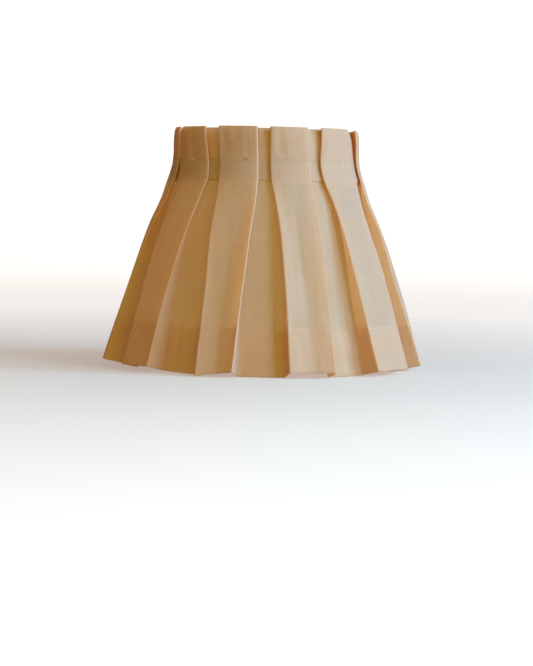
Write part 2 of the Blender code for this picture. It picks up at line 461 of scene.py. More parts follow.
def smooth(stations, values):
    """A function that runs through the values at the stations with no corners."""
    stations = np.asarray(stations, float)
    values = np.asarray(values, float)
    slopes = np.gradient(values, stations, axis=0)

    def at(x):
        i = int(np.clip(np.searchsorted(stations, x) - 1, 0, len(stations) - 2))
        width = stations[i + 1] - stations[i]
        t = np.clip((x - stations[i]) / width, 0, 1)
        rise = 3 * t**2 - 2 * t**3
        start = (t**3 - 2 * t**2 + t) * width
        end = (t**3 - t**2) * width
        return values[i] * (1 - rise) + values[i + 1] * rise + slopes[i] * start + slopes[i + 1] * end

    return at


box_radius = smooth(*([value * MM for value in row] for row in OUTLINE))
edges_at_stations = PLEATS.transpose(2, 0, 1)
edge_parts = [smooth(STATIONS[a : b + 1], edges_at_stations[a : b + 1]) for a, b in ((0, 1), (1, 2), (2, 6))]


def box_edges(drop):
    """The edges of the boxes. They change direction only at the two rows of stitching."""
    return edge_parts[0 if drop <= FRILL else 1 if drop <= WAIST else 2](drop)


def skirt_share(drop):
    """From 0 at the lower row of stitching to 1 at the hem."""
    return float(np.clip((drop - WAIST) / (DROP - WAIST), 0, 1))


def riser_angle(drop):
    """How far the risers stand away from the boxes, between its values at the waist, the top and the hem."""
    if drop < FRILL:
        return PRESSED + (TOP_OPEN - PRESSED) * (1 - drop / FRILL) ** 1.5
    return PRESSED + (HEM_OPEN - PRESSED) * math.sqrt(skirt_share(drop))


print(f"the boxes reach {box_radius(0) / MM:.0f} mm at the top and {box_radius(DROP) / MM:.0f} mm at the hem")

# %% [markdown]
# The section is worked out flat, as distance across and distance out from the box's face, and then wrapped
# round the axis. Arcs make the folds. The gap between two risers is a straight run that bows a little.

# %% Work out one section
bottom_ring_low, bottom_ring_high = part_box("bottom_ring")
top_ring_low, top_ring_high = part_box("top_ring")
CLOTH = 0.75 * MM  # between the middles of two layers
REST_GAP = 0.35 * MM
ROOM_FOR_FOLDS = 4.0 * MM
LEAST_ROOM = 3 * MM
FREE_ABOVE = 6 * MM  # above the top ring, where the cloth starts to stand free of the frame
FREE_LENGTH = 10 * MM  # until it is quite free
FREE_DEPTH = 12 * MM  # how far in it could then go
SOFTEN = 0.25 * MM  # how softly the cloth comes to rest on the frame
RISER = 17.5 * MM
OUTER_FOLD = 1.0 * MM  # radius of a box's edges
INNER_FOLD = 0.5 * MM
FOLD_STEPS = 5
RISER_STEPS = 5
RUN_STEPS = 2 * FOLD_STEPS - 1 + RISER_STEPS
BOX_STEPS = 17
GAP_STEPS = 15
PLEAT_COLUMNS = BOX_STEPS + GAP_STEPS + 2 * RUN_STEPS
COLUMNS = len(PLEATS) * PLEAT_COLUMNS
BOW_SPEED = 1.6  # the boxes have their full hollow before they reach the hem
KINK_SPEED = 1.7  # and their crease its lower place
# Where the hollow of each box has its crease at the waist and at the hem, and how sharp the crease is.
KINKS = (
    (0.5, 0.5, 0.2), (0.82, 0.45, 0.6), (0.36, 0.50, 0.9), (0.7, 0.7, 0.3), (0.5, 0.5, 0.0),
    (0.3, 0.5, 0.6), (0.5, 0.6, 0.3), (0.7, 0.5, 0.7), (0.5, 0.4, 0.2), (0.5, 0.5, 0.0),
)


def frame_radius(z):
    """How far out the wire frame reaches at a height. The cloth rests on it, and is free above it."""
    low, high = (bottom_ring_low.z + bottom_ring_high.z) / 2, (top_ring_low.z + top_ring_high.z) / 2
    share = np.clip((z - low) / (high - low), 0, 1.0)
    above = np.clip((z - top_ring_high.z - FREE_ABOVE) / FREE_LENGTH, 0, 1)
    return bottom_ring_high.x + (top_ring_high.x - bottom_ring_high.x) * share - FREE_DEPTH * above


def fold_run(opening, room):
    """The cloth from a box's edge to the start of the gap, as (across, out). Across grows towards the gap."""
    length = min(RISER, room / math.sin(opening))
    start = np.linspace(90 * DEGREE, opening - 90 * DEGREE, FOLD_STEPS)
    outer = OUTER_FOLD * np.stack([np.cos(start) - 1, np.sin(start) - 1], 1)
    along = np.array([-math.cos(opening), -math.sin(opening)])
    steps = np.linspace(0, 1, RISER_STEPS + 1)[1:, None]
    riser = outer[-1] + along * length * steps
    centre = riser[-1] + INNER_FOLD * np.array([math.sin(opening), -math.cos(opening)])
    turn = np.linspace(90 * DEGREE + opening, 270 * DEGREE, FOLD_STEPS)[1:]
    inner = centre + INNER_FOLD * np.stack([np.cos(turn), np.sin(turn)], 1)
    return np.concatenate([outer, riser, inner])


def hollow(t, kink, sharpness):
    """From 0 at the edges of a box to 1 at its middle: a round hollow, or one with a soft crease at kink."""
    round_way = 4 * t * (1 - t)
    tent = np.minimum(t / kink, (1 - t) / (1 - kink))
    tent = 1 - np.sqrt((1 - tent) ** 2 + 0.01)
    return round_way * (1 - sharpness) + tent * sharpness


def section(drop):
    """The cloth's loop at one distance down: across, out, the height of its hem, and its radius."""
    radius = float(box_radius(drop))
    edges = box_edges(drop)
    room = radius - frame_radius(TOP_Z - drop) - REST_GAP - ROOM_FOR_FOLDS
    run = fold_run(riser_angle(drop), max(room, LEAST_ROOM))
    depth = run[-1][1]
    share = run[:, 1] / depth
    skirt = skirt_share(drop)
    bow = math.sin(math.pi / 2 * min(1, skirt * BOW_SPEED))
    t_box = np.linspace(0, 1, BOX_STEPS + 2)[1:-1]
    t_gap = np.linspace(0, 1, GAP_STEPS + 2)[1:-1]
    points = []
    for number, (left, right) in enumerate(edges * radius):
        end = number + 1 == len(edges)
        following = (edges[(number + 1) % len(edges)][0] + (math.tau if end else 0)) * radius
        box_start, box_end = BOX_HEMS[number]
        gap_start, gap_end = GAP_HEMS[number]
        next_start = BOX_HEMS[(number + 1) % len(edges)][0]
        high_kink, low_kink, sharpness = KINKS[number]
        kink = high_kink + (low_kink - high_kink) * min(1, skirt * KINK_SPEED)
        dent = -BOX_HOLLOW[number] * MM * bow * hollow(t_box, kink, sharpness * bow)
        points.append((left + (right - left) * t_box, dent, box_start + (box_end - box_start) * t_box))
        points.append((right + run[:, 0], run[:, 1], box_end + (gap_start - box_end) * share))
        begin, stop = right + run[-1][0], following - run[-1][0]
        bulge = depth - GAP_SAG[number] * MM * bow * 4 * t_gap * (1 - t_gap)
        points.append((begin + (stop - begin) * t_gap, bulge, gap_start + (gap_end - gap_start) * t_gap))
        back = run[::-1]
        points.append((following - back[:, 0], back[:, 1], next_start + (gap_end - next_start) * share[::-1]))
    across, out, hem = np.concatenate(points, axis=1)
    return across, out, hem * MM, radius


def behind_cloth(across, out, radius):
    """For each point, the direction to the cloth's wrong side, as (across, out)."""
    span = math.tau * radius
    ahead, behind = np.roll(across, -1), np.roll(across, 1)
    ahead[-1] += span
    behind[0] -= span
    tangent = np.stack([ahead - behind, np.roll(out, -1) - np.roll(out, 1)], 1)
    tangent /= np.linalg.norm(tangent, axis=1)[:, None]
    return tangent[:, 1], -tangent[:, 0]


hem_across, hem_out, _, _ = section(DROP)
steps = np.hypot(np.diff(hem_across), np.diff(hem_out))
COLUMN_PLACE = np.concatenate([[0], np.cumsum(steps)])  # how far along the cloth each column of points is
COLUMN_TURN = COLUMN_PLACE / COLUMN_PLACE[-1] * math.tau
print(f"{COLUMNS} columns, {COLUMN_PLACE[-1]:.3f} m of cloth, the deepest {-hem_out.min() / MM:.1f} mm in")
print("the boxes start at", [round(p / MM) for p in COLUMN_PLACE[::PLEAT_COLUMNS]], "mm along the cloth")

# %% [markdown]
# ## The cover
#
# The cover is one strip of cloth. It starts inside, under the waist, runs up to the top edge and turns over
# it, comes down the outside to the hem, and turns up again inside. A row of points is placed for each step of
# that way, and the rows are joined into one sheet. Two layers that lie together are both really there, so
# the light finds them: the frill, the waist and the hem come out darker than the skirt by themselves.
#
# The cloth could be simulated, but pressed pleats are crisper than a simulation keeps them. So the unevenness
# is put in by rule: slow waves, soft creases that run down the cloth, and puckers by the rows of stitching.

# %% Lay out the rows
FACING_END = WAIST + 4 * MM
HEM_DEPTH = 43 * MM
STITCH_ROWS = (FRILL, WAIST)
HEM_STITCH = DROP - HEM_DEPTH + 2.2 * MM
TURN_STEPS = 3


def row_drops():
    """Distances down the outside of the cloth, closer together at the rows of stitching."""
    frill = np.arange(0, FRILL - 4 * MM, 3.2 * MM)
    waist = np.arange(FRILL - 4 * MM, WAIST + 6 * MM, 1.0 * MM)
    skirt = np.linspace(WAIST + 7 * MM, HEM_STITCH - 8 * MM, 36)
    stitched = np.arange(HEM_STITCH - 7 * MM, HEM_STITCH + 7 * MM, 1.1 * MM)
    return [*frill, *waist, *skirt, *stitched, *np.linspace(HEM_STITCH + 9 * MM, DROP, 11)]


def cloth_rows():
    """(distance down, distance behind the outer layer, distance past the fold) for each row of the strip."""
    drops = row_drops()
    rows = [(d, CLOTH, 0.0) for d in reversed(drops) if 1 * MM < d <= FACING_END]
    turns = [math.pi * step / (TURN_STEPS + 1) for step in range(TURN_STEPS + 2)]
    rows += [(CLOTH / 2, CLOTH * (1 + math.cos(t)) / 2, CLOTH * math.sin(t) / 2) for t in turns]
    rows += [(d, 0.0, 0.0) for d in drops[1:-1]]
    rows += [(DROP - CLOTH / 2, CLOTH * (1 - math.cos(t)) / 2, -CLOTH * math.sin(t) / 2) for t in turns]
    rows += [(d, CLOTH, 0.0) for d in reversed(drops[:-1]) if d > DROP - HEM_DEPTH]
    return rows


rows = cloth_rows()
print(len(rows), "rows from the facing's edge over the top and round the hem")

# %% Shape the unevenness
# Height of each kind, how often it comes round the cloth, and how often it comes down it.
WAVE = (1.5 * MM, 6.5, 12)
RIPPLE = (0.60 * MM, 26, 16)
PUCKER = (0.55 * MM, 1 / (3.2 * MM), 25)
PINCH = 0.24 * MM  # how far the stitches pull the cloth in
PINCH_WIDTH = 0.9 * MM
# Soft creases down the cloth: place along it, start and end down it, half width, depth, all in mm, and how
# far they move along the cloth for each mm down.
CREASES = (
    (73, 160, 232, 2.0, 0.50, 0.0), (82, 195, 232, 1.6, -0.35, 0.0), (97, 120, 225, 2.4, 0.30, 0.0),
    (138, 6, 32, 2.6, 0.55, -0.72), (155, 10, 36, 1.7, 0.40, 0.0), (141, 185, 232, 2.2, -0.35, 0.0),
    (201, 52, 88, 1.2, 0.35, 0.0), (214, 120, 232, 3.0, 0.30, 0.0), (272, 68, 152, 2.0, 0.42, 0.0),
    (262, 6, 34, 3.0, 0.40, 0.5), (265, 180, 232, 2.0, 0.35, 0.0), (286, 188, 230, 1.8, 0.50, 0.1),
    (293, 194, 226, 1.4, 0.40, 0.0), (331, 192, 232, 1.5, 0.35, 0.0), (339, 60, 225, 1.9, 0.30, 0.0),
    (402, 72, 152, 2.0, 0.30, 0.0), (420, 110, 230, 2.0, -0.25, 0.0), (460, 90, 225, 1.8, 0.30, 0.0),
)


def fade(value, start, length):
    """From 0 at a start to 1 a length further on."""
    return float(np.clip((value - start) / length, 0, 1))


def near(value, centre, width):
    """From 1 at a centre to almost 0 two widths away from it."""
    return np.exp(-(((value - centre) / width) ** 2))


def unevenness(drop):
    """How far the cloth stands out of its plain shape at each column of points, at one distance down."""
    free = fade(drop, WAIST, 60 * MM) + 0.5 * fade(-drop, -28 * MM, 28 * MM)
    loose = fade(drop, WAIST + 4 * MM, 40 * MM) + fade(-drop, -30 * MM, 20 * MM)
    gathered = near(drop, HEM_STITCH, 9 * MM)
    if drop > WAIST:
        gathered += 0.8 * near(drop, WAIST + 7 * MM, 7 * MM)
    result = np.zeros(COLUMNS)
    for i, (place, turn) in enumerate(zip(COLUMN_PLACE, COLUMN_TURN)):
        ring = polar(1, turn)
        wave = noise.noise(ring * WAVE[1] + Vector((0, 0, drop * WAVE[2])))
        ripple = noise.noise(ring * RIPPLE[1] + Vector((3, 0, drop * RIPPLE[2])))
        pucker = noise.noise(Vector((place * PUCKER[1], drop * PUCKER[2], 7)))
        result[i] = free * WAVE[0] * wave + loose * RIPPLE[0] * ripple + gathered * PUCKER[0] * pucker
    for place, start, end, width, depth, lean in CREASES:
        below = drop / MM - (start + end) / 2
        along = max(0.0, 1 - (2 * below / (end - start)) ** 2)
        result -= depth * MM * along * near(COLUMN_PLACE / MM, place + lean * below, width)
    return result - sum(PINCH * near(drop, row, PINCH_WIDTH) for row in (*STITCH_ROWS, HEM_STITCH))


print("unevenness at mid-skirt up to", round(float(np.abs(unevenness(0.13)).max() / MM), 2), "mm")

# %% Build the sheet
TOP_DIP = 1.3 * MM  # of the gaps, below the boxes


def top_slope():
    """How far each column of points is below the top, so that the top edge isn't quite level."""
    return np.array([0.5 * MM * (0.6 + noise.noise(polar(3, turn, 4))) for turn in COLUMN_TURN])


def place_row(drop, behind, past=0.0):
    """One row of points of the sheet, some way behind the outer layer and past the fold of its edge."""
    across, out, hem, radius = section(drop)
    side_across, side_out = behind_cloth(across, out, radius)
    angle = (across + behind * side_across) / radius + FRONT
    skirt = skirt_share(drop)
    dip = TOP_DIP * np.clip(out / out.min(), 0, 1) + top_slope() if drop < FRILL else 0.0
    top = TOP_Z - drop - dip * fade(-drop, -FRILL, FRILL)
    z = np.where(drop > WAIST, LOW_STITCH_Z + (HEM_Z + hem - LOW_STITCH_Z) * skirt, top) + past
    rest = frame_radius(z) + REST_GAP + CLOTH - behind
    reach = radius + out + behind * side_out + unevenness(drop)
    reach = np.logaddexp(reach / SOFTEN, rest / SOFTEN) * SOFTEN
    return np.stack([reach * np.cos(angle), reach * np.sin(angle), z], 1)


def build_cover():
    """The cover, and the width and length of its cloth."""
    points = np.array([place_row(*row) for row in rows])
    walked = np.median(np.linalg.norm(np.diff(points, axis=0), axis=2), axis=1)
    down = np.concatenate([[0], np.cumsum(walked)])
    middle = points[len(points) // 2]
    closing = float(np.linalg.norm(middle[0] - middle[-1]))
    round_way = np.append(COLUMN_PLACE, COLUMN_PLACE[-1] + closing)
    mesh = skin("pleated_cover", points)
    lay_flat(mesh, round_way, down)
    return put("pleated_cover", mesh), round_way[-1], down[-1]


cover, cloth_width, cloth_length = build_cover()
print(f"cloth {cloth_width:.3f} m round and {cloth_length:.3f} m long, {len(cover.data.polygons)} faces")

# %% [markdown]
# ## Unbleached cotton
#
# Unbleached calico is a plain weave of slightly uneven threads. Close up it has a small square weave. From
# further away the thick places in the threads show as short streaks, more of them down the cloth than across
# it, and here and there a bit of seed husk is caught in a thread as a dark fleck. The patterns are laid out
# on the cloth's own map, which is in metres, so each has its real size and runs with the threads.
#
# Light goes through the cloth as well as off it. A second shader does that part. Its colour is a deeper
# yellow, because cotton lets red and yellow through more easily than blue.

# %% Make the cotton
THROUGH_COTTON = (0.95, 0.60, 0.36, 1.0)
HUSK_BROWN = (0.22, 0.14, 0.07, 1.0)
WEAVE_PITCH = 0.9 * MM
WEAVE_RELIEF = 0.25 * MM


def see_through(g, share, normal, **inputs):
    """Ends the material of a cloth. A share of the light goes through it, and the rest comes off it."""
    surface = g.surface(Normal=normal, **inputs)
    through = g.node("ShaderNodeBsdfTranslucent", None, {"Color": THROUGH_COTTON, "Normal": normal})
    return g.finish(g.node("ShaderNodeMixShader", None, {0: share, 1: surface, 2: through}))


def cotton():
    """Unbleached cotton with streaks in both directions, flecks, and its weave."""
    g = material_graph("natural_cotton")
    cloth = g.cloth_place()
    streak = g.noise(g.scaled(cloth, (620.0, 22.0, 0.0)), 1.0, 3.0, 0.6)
    cross = g.noise(g.scaled(cloth, (26.0, 700.0, 0.0)), 1.0, 2.0, 0.6)
    cloud = g.noise(g.scaled(cloth, (45.0, 30.0, 0.0)), 1.0, 3.0, 0.55)
    tone = 0.5 * streak + 0.2 * cross + 0.3 * cloud
    stops = [(0.30, (0.760, 0.715, 0.625)), (0.50, (0.830, 0.790, 0.705)), (0.70, (0.880, 0.850, 0.775))]
    fleck = flecks(g, cloth)
    colour = g.mix(0.6 * fleck, g.ramp(tone, *stops), HUSK_BROWN)
    parts = g.node("ShaderNodeSeparateXYZ", None, {0: cloth})
    turn = math.tau / WEAVE_PITCH
    weave = (parts * turn).sine() * (parts["Y"] * turn).sine()
    height = 0.25 * weave + 0.9 * streak + 0.5 * cross + 0.6 * fleck
    rough = 0.86 + 0.1 * streak
    share = 0.60 + 0.10 * (0.5 - streak) - 0.3 * fleck
    looks = {"Base_Color": colour, "Roughness": rough, "Sheen_Weight": 0.12, "Sheen_Roughness": 0.4}
    return see_through(g, share, g.bump(height, 0.5, WEAVE_RELIEF), **looks)


def flecks(g, cloth):
    """1 on the scattered bits of seed husk, 0 elsewhere."""
    settings = {"voronoi_dimensions": "2D", "feature": "F1"}
    place = g.scaled(cloth, (230.0, 150.0, 0.0))
    inputs = {"Vector": place, "Scale": 1.0, "Randomness": 1.0}
    distance = g.node("ShaderNodeTexVoronoi", settings, inputs)
    chance = g.node("ShaderNodeSeparateColor", None, {0: distance["Color"]})
    size = 0.035 + 0.045 * chance["Green"]
    return chance.above(0.72) * (size - distance).above(0.0)


cover.data.materials.append(cotton())
tie(cover, "skirt_cover")
print("cotton on", cover.name)

# %% [markdown]
# ## Stitches
#
# Three rows of machine stitching hold the cover: two round the waist, through pleats, facing and tape, and
# one that holds the hem. Each stitch is a short bead of thread, and there are well over a thousand. Geometry
# Nodes lay them: a row is given as a chain of edges on the cloth, the tree makes points along it at one
# stitch length, and puts a bead on each point, turned along the row.


# %% Build the node tree for stitches
def geometry_graph(name, sizes):
    """An empty Geometry Nodes tree, and the node that gives its named inputs."""
    tree = bpy.data.node_groups.new(name, "GeometryNodeTree")
    for label, (kind, value) in {"Geometry": ("Geometry", None), **sizes}.items():
        socket = tree.interface.new_socket(name=label, in_out="INPUT", socket_type="NodeSocket" + kind)
        if value is not None:
            socket.default_value = value
    tree.interface.new_socket(name="Geometry", in_out="OUTPUT", socket_type="NodeSocketGeometry")
    g = Graph(tree)
    return g, g.node("NodeGroupInput")


def finish_geometry(g, shape, material):
    """Ends a tree with its shape shaded smooth, in one material."""
    soft = g.node("GeometryNodeSetShadeSmooth", None, {"Geometry": shape})
    done = g.node("GeometryNodeSetMaterial", None, {"Geometry": soft, "Material": material})
    g.node("NodeGroupOutput", None, {"Geometry": done})
    return g.tree


def stitch_tree():
    """Beads of thread at one pitch along the edges that the tree is given."""
    sizes = {"Pitch": ("Float", 3 * MM), "Length": ("Float", 2.4 * MM), "Thickness": ("Float", 0.3 * MM)}
    g, given = geometry_graph("stitch_row", {**sizes, "Seed": ("Int", 3), "Thread": ("Material", None)})
    row = g.node("GeometryNodeMeshToCurve", None, {"Mesh": given})
    spacing = {"Curve": row, "Length": given["Pitch"]}
    spaced = g.node("GeometryNodeResampleCurve", {"mode": "LENGTH"}, spacing)
    bead = g.node("GeometryNodeMeshUVSphere", None, {"Segments": 6, "Rings": 5, "Radius": 0.5})
    along = g.node("GeometryNodeInputTangent")
    turned = g.node("FunctionNodeAlignRotationToVector", {"axis": "Z"}, {"Vector": along})
    limits = {"Seed": given["Seed"], 2: 0.86, 3: 1.1}
    change = g.node("FunctionNodeRandomValue", {"data_type": "FLOAT"}, limits, output=1)
    thick = given["Thickness"]
    size = g.node("ShaderNodeCombineXYZ", None, {"X": thick, "Y": thick, "Z": given["Length"] * change})
    placing = {"Points": spaced, "Instance": bead, "Rotation": turned, "Scale": size}
    beads = g.node("GeometryNodeInstanceOnPoints", None, placing)
    real = g.node("GeometryNodeRealizeInstances", None, {"Geometry": beads})
    return finish_geometry(g, real, given["Thread"])


def run_tree(name, mesh, tree, values):
    """Runs a tree on a mesh with the values given by name, and returns the result as a plain object."""
    obj = put(name, mesh)
    modifier = obj.modifiers.new(name, "NODES")
    modifier.node_group = tree
    for item in tree.interface.items_tree:
        if item.in_out == "INPUT" and item.name in values:
            modifier[item.identifier] = values[item.name]
    evaluated = obj.evaluated_get(bpy.context.evaluated_depsgraph_get())
    made = bpy.data.meshes.new_from_object(evaluated)
    obj.modifiers.remove(modifier)
    obj.data = made
    made.name = name
    return obj


stitch_row = stitch_tree()
print("tree", stitch_row.name, "with", len(stitch_row.nodes), "nodes")

# %% [markdown]
# The rows follow the cloth as it lies. At the waist only the boxes and the gaps between them are on the
# outside, so the row is a chain for each of them. At the hem it goes round the whole loop, risers and all,
# once on the right side of the cloth and once on the wrong side.

# %% Trace the rows
THREAD = 0.30 * MM
WAIST_LIFT = 0.02 * MM  # of the middle of the thread from the cloth
HEM_LIFT = 0.05 * MM
LEAST_TURN = 0.008  # between a stitch of a gap and the boxes beside it


def chains_mesh(name, chains, closed=False):
    """A mesh of edges only, one chain for each list of points."""
    mesh = bpy.data.meshes.new(name)
    points, edges = [], []
    for chain in chains:
        start = len(points)
        points += [tuple(p) for p in chain]
        edges += [(start + i, start + i + 1) for i in range(len(chain) - 1)]
        if closed:
            edges.append((start + len(chain) - 1, start))
    mesh.from_pydata(points, edges, [])
    return mesh


def part_turn(turns):
    """Turns brought to within half a circle of 0."""
    return (turns + math.pi) % math.tau - math.pi


def outer_chains(drop):
    """The parts of a waist row that can be seen from outside: each box, and the free part of each gap."""
    line = place_row(drop, -WAIST_LIFT)
    for start in range(0, COLUMNS, PLEAT_COLUMNS):
        gap_start = start + BOX_STEPS + RUN_STEPS
        gap = line[gap_start : gap_start + GAP_STEPS]
        angle = np.unwrap(np.arctan2(gap[:, 1], gap[:, 0]))
        left = math.atan2(*line[start + BOX_STEPS, 1::-1])
        right = math.atan2(*line[(start + PLEAT_COLUMNS - 1) % COLUMNS, 1::-1])
        free = (part_turn(angle - left) > LEAST_TURN) & (part_turn(right - angle) > LEAST_TURN)
        yield line[start : start + BOX_STEPS]
        if free.sum() > 1:
            yield gap[free]


waist_rows = chains_mesh("waist_rows", [chain for drop in STITCH_ROWS for chain in outer_chains(drop)])
hem_lines = [place_row(HEM_STITCH, behind) for behind in (-HEM_LIFT, CLOTH + HEM_LIFT)]
hem_rows = chains_mesh("hem_rows", hem_lines, closed=True)
print(len(waist_rows.edges), "edges at the waist,", len(hem_rows.edges), "at the hem")


# %% Lay the stitches
def sewing_thread():
    """Soft cotton thread, a little uneven in tone."""
    g = material_graph("sewing_thread")
    place = g.own_place()
    fuzz = g.noise(place, 900.0, 2.0)
    tone = g.noise(place, 60.0, 2.0)
    colour = g.ramp(0.5 * fuzz + 0.5 * tone, (0.3, (0.78, 0.71, 0.58)), (0.7, (0.88, 0.82, 0.71)))
    normal = g.bump(fuzz, 0.4, 0.1 * MM)
    return g.finish(g.surface(Base_Color=colour, Roughness=0.7, Normal=normal, Sheen_Weight=0.2))


thread = sewing_thread()
for name, mesh, pitch in (("waist_stitches", waist_rows, 2.8 * MM), ("hem_stitches", hem_rows, 3.2 * MM)):
    values = {"Pitch": pitch, "Length": pitch * 0.8, "Thickness": THREAD, "Seed": 3, "Thread": thread}
    stitches = run_tree(name, mesh, stitch_row, values)
    tie(stitches)
    print(name, len(stitches.data.polygons), "faces")

# %% [markdown]
# ## Waist tape
#
# Inside the waist a cotton tape runs round, and the wire of the top ring is held in it. A tape is woven with
# a herringbone, which shows as slanting ribs that change direction, and has a firm edge on each side. It is
# made as a band with a little slack between the stitches, and thickened with a Solidify modifier.

# %% Make the tape
TAPE_THICKNESS = 0.7 * MM
TAPE_SLACK = 0.9 * MM  # so that it stays behind the unevenness of the cloth
TAPE_WAVE = 0.12 * MM
TAPE_TURNS = 360
TAPE_ROWS = 9
HERRINGBONE_WIDTH = 2.6 * MM
RIB_PITCH = 1.3 * MM
YARN_PITCH = 0.6 * MM


def inside_waist(drop):
    """The radius of the tape's middle: just inside the facing, where the cloth is deepest."""
    _, out, _, radius = section(max(drop, FRILL))
    return radius + out.min() - 1.5 * CLOTH - TAPE_THICKNESS / 2 - TAPE_SLACK


def tape_ring(share):
    """A ring of points on the tape, from share 0 at its lower edge to 1 at its upper edge."""
    z = tape_low.z + (tape_high.z - tape_low.z) * share
    reach = inside_waist(TOP_Z - z) - TAPE_WAVE * abs(2 * share - 1) ** 6
    turns = [i / TAPE_TURNS * math.tau for i in range(TAPE_TURNS)]
    waves = [TAPE_WAVE * noise.noise(polar(30, turn, share * 2)) for turn in turns]
    return [polar(reach + wave, turn, z) for turn, wave in zip(turns, waves)]


def build_tape():
    """The tape, and its length and width laid flat."""
    rings = [tape_ring(1 - row / (TAPE_ROWS - 1)) for row in range(TAPE_ROWS)]
    high, low = rings[0][0], rings[-1][0]
    length = math.pi * (low.xy.length + high.xy.length)
    width = (high - low).length
    mesh = skin("waist_band", rings)
    lay_flat(mesh, np.linspace(0, length, TAPE_TURNS + 1), np.linspace(width, 0, TAPE_ROWS))
    band = put("waist_band", mesh)
    solid = band.modifiers.new("thickness", "SOLIDIFY")
    solid.thickness = TAPE_THICKNESS
    solid.offset = 0
    return band, length, width


def tape_cotton():
    """Cotton tape with its herringbone and yarns."""
    g = material_graph("cotton_tape")
    cloth = g.cloth_place()
    along = g.node("ShaderNodeSeparateXYZ", None, {0: cloth})
    across = along["Y"]
    zigzag = g.node("ShaderNodeMath", {"operation": "PINGPONG"}, {0: across, 1: HERRINGBONE_WIDTH})
    rib = ((along + zigzag) * (math.tau / RIB_PITCH)).sine()
    yarn = (across * (math.tau / YARN_PITCH)).sine()
    tone = g.noise(g.scaled(cloth, (120.0, 240.0, 0.0)), 1.0, 3.0)
    colour = g.ramp(0.14 * rib + 0.06 * yarn + tone, (0.2, (0.66, 0.60, 0.49)), (0.8, (0.82, 0.77, 0.66)))
    normal = g.bump(0.6 * rib + 0.25 * yarn + tone, 0.6, WEAVE_RELIEF)
    return see_through(g, 0.45, normal, Base_Color=colour, Roughness=0.9, Sheen_Weight=0.1)


tape, tape_length, tape_width = build_tape()
tape.data.materials.append(tape_cotton())
tie(tape, "waist_tape")
print(f"tape {tape_length:.3f} m long and {tape_width / MM:.1f} mm wide")

# %% [markdown]
# ## Wire frame
#
# The frame is bent from steel wire and spot-welded: two rings, six ribs, and three arms that drop to the ring
# round the lamp holder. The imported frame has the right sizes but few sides, so each wire is made again round
# the same centre line with more sides and round ends. The line for a wire is a list of points, and one
# function sweeps a circle along it.

# %% Sweep a wire along a line
WIRE_SIDES = 16
END_STEPS = (0.5, 1.0, 1.45)  # angles round the end of a wire


def wire_rings(line, radius, closed):
    """Circles of points along a line of points. An open wire has rounded ends."""
    sizes = [radius] * len(line)
    if not closed:
        start, end = line[0], line[-1]
        first, last = (line[1] - start).normalized(), (end - line[-2]).normalized()
        line = [start - first * radius * math.sin(a) for a in reversed(END_STEPS)] + line
        line += [end + last * radius * math.sin(a) for a in END_STEPS]
        cap_sizes = [radius * math.cos(a) for a in END_STEPS]
        sizes = cap_sizes[::-1] + sizes + cap_sizes
    rings = []
    side = None
    for i, (point, size) in enumerate(zip(line, sizes)):
        before = line[i - 1] if closed or i else point
        after = line[(i + 1) % len(line)] if closed or i + 1 < len(line) else point
        forward = (after - before).normalized()
        if side is None:
            side = forward.orthogonal().normalized()
        side = (side - forward * side.dot(forward)).normalized()
        up = forward.cross(side)
        turns = [math.tau * step / WIRE_SIDES for step in range(WIRE_SIDES)]
        rings.append([point + (side * math.cos(turn) + up * math.sin(turn)) * size for turn in turns])
    return rings


def wire_piece(name, node, line, radius, coat, closed=False):
    """A coated wire along a line, tied to its node."""
    mesh = skin(name, wire_rings(line, radius, closed), "joined" if closed else "capped")
    mesh.materials.append(coat)
    piece = put(name, mesh)
    tie(piece, node)
    return piece


print("wires have", WIRE_SIDES, "sides")

# %% [markdown]
# The wire is coated with baked white powder. Powder coating isn't quite smooth: it has a fine orange-peel
# skin, a soft gloss, and over the years it yellows a little and collects dust in patches.


# %% Make the coating
def powder_coating():
    """White powder coating with its fine peel, patches of dust and a few chips."""
    g = material_graph("white_coated_steel")
    place = g.own_place()
    peel = g.noise(place, 1400.0, 2.0)
    dust = g.noise(place, 70.0, 4.0, 0.6)
    chips = g.noise(place, 260.0, 3.0, 0.7)
    dusty = g.ramp(dust, (0.35, (0.86, 0.85, 0.80)), (0.62, (0.80, 0.78, 0.72)), (0.80, (0.66, 0.63, 0.56)))
    looks = {
        "Base_Color": g.mix(0.7 * chips.above(0.735), dusty, (0.22, 0.19, 0.16, 1.0)),
        "Roughness": 0.28 + 0.3 * dust,
        "Normal": g.bump(peel, 0.25, 0.06 * MM),
        "Coat_Roughness": 0.2,
        "Coat_Weight": 0.25,
    }
    return g.finish(g.surface(**looks))


coat = powder_coating()
print("coating ready")

# %% Make the rings and ribs
RING_STEPS = 144
RIB_COUNT = 6
RIB_WIRE = 2.5 * MM / 2
RIB_OVERRUN = 2 * MM
FIT_GAP = 0.4 * MM  # between pieces that touch


def ring_sizes(node):
    """The radius and height of a ring's centre line, and half its wire's thickness, from the ring's box."""
    low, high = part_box(node)
    wire = (high.z - low.z) / 2
    return high.x - wire, (low.z + high.z) / 2, wire


for name, node in (("top_wire", "top_ring"), ("bottom_wire", "bottom_ring")):
    radius, z, wire = ring_sizes(node)
    line = [polar(radius, math.tau * step / RING_STEPS, z) for step in range(RING_STEPS)]
    wire_piece(name, node, line, wire, coat, closed=True)
TOP_RING_RADIUS, TOP_RING_Z, RING_WIRE = ring_sizes("top_ring")
BOTTOM_RING_RADIUS, BOTTOM_RING_Z, _ = ring_sizes("bottom_ring")


def rib_ends(number):
    """Where a rib crosses the two rings. The ribs lie inside them, wire against wire."""
    turn = FRONT + math.radians(30 + 60 * number)
    inward = RING_WIRE + RIB_WIRE + FIT_GAP
    top = polar(TOP_RING_RADIUS - inward, turn, TOP_RING_Z)
    return top, polar(BOTTOM_RING_RADIUS - inward, turn, BOTTOM_RING_Z)


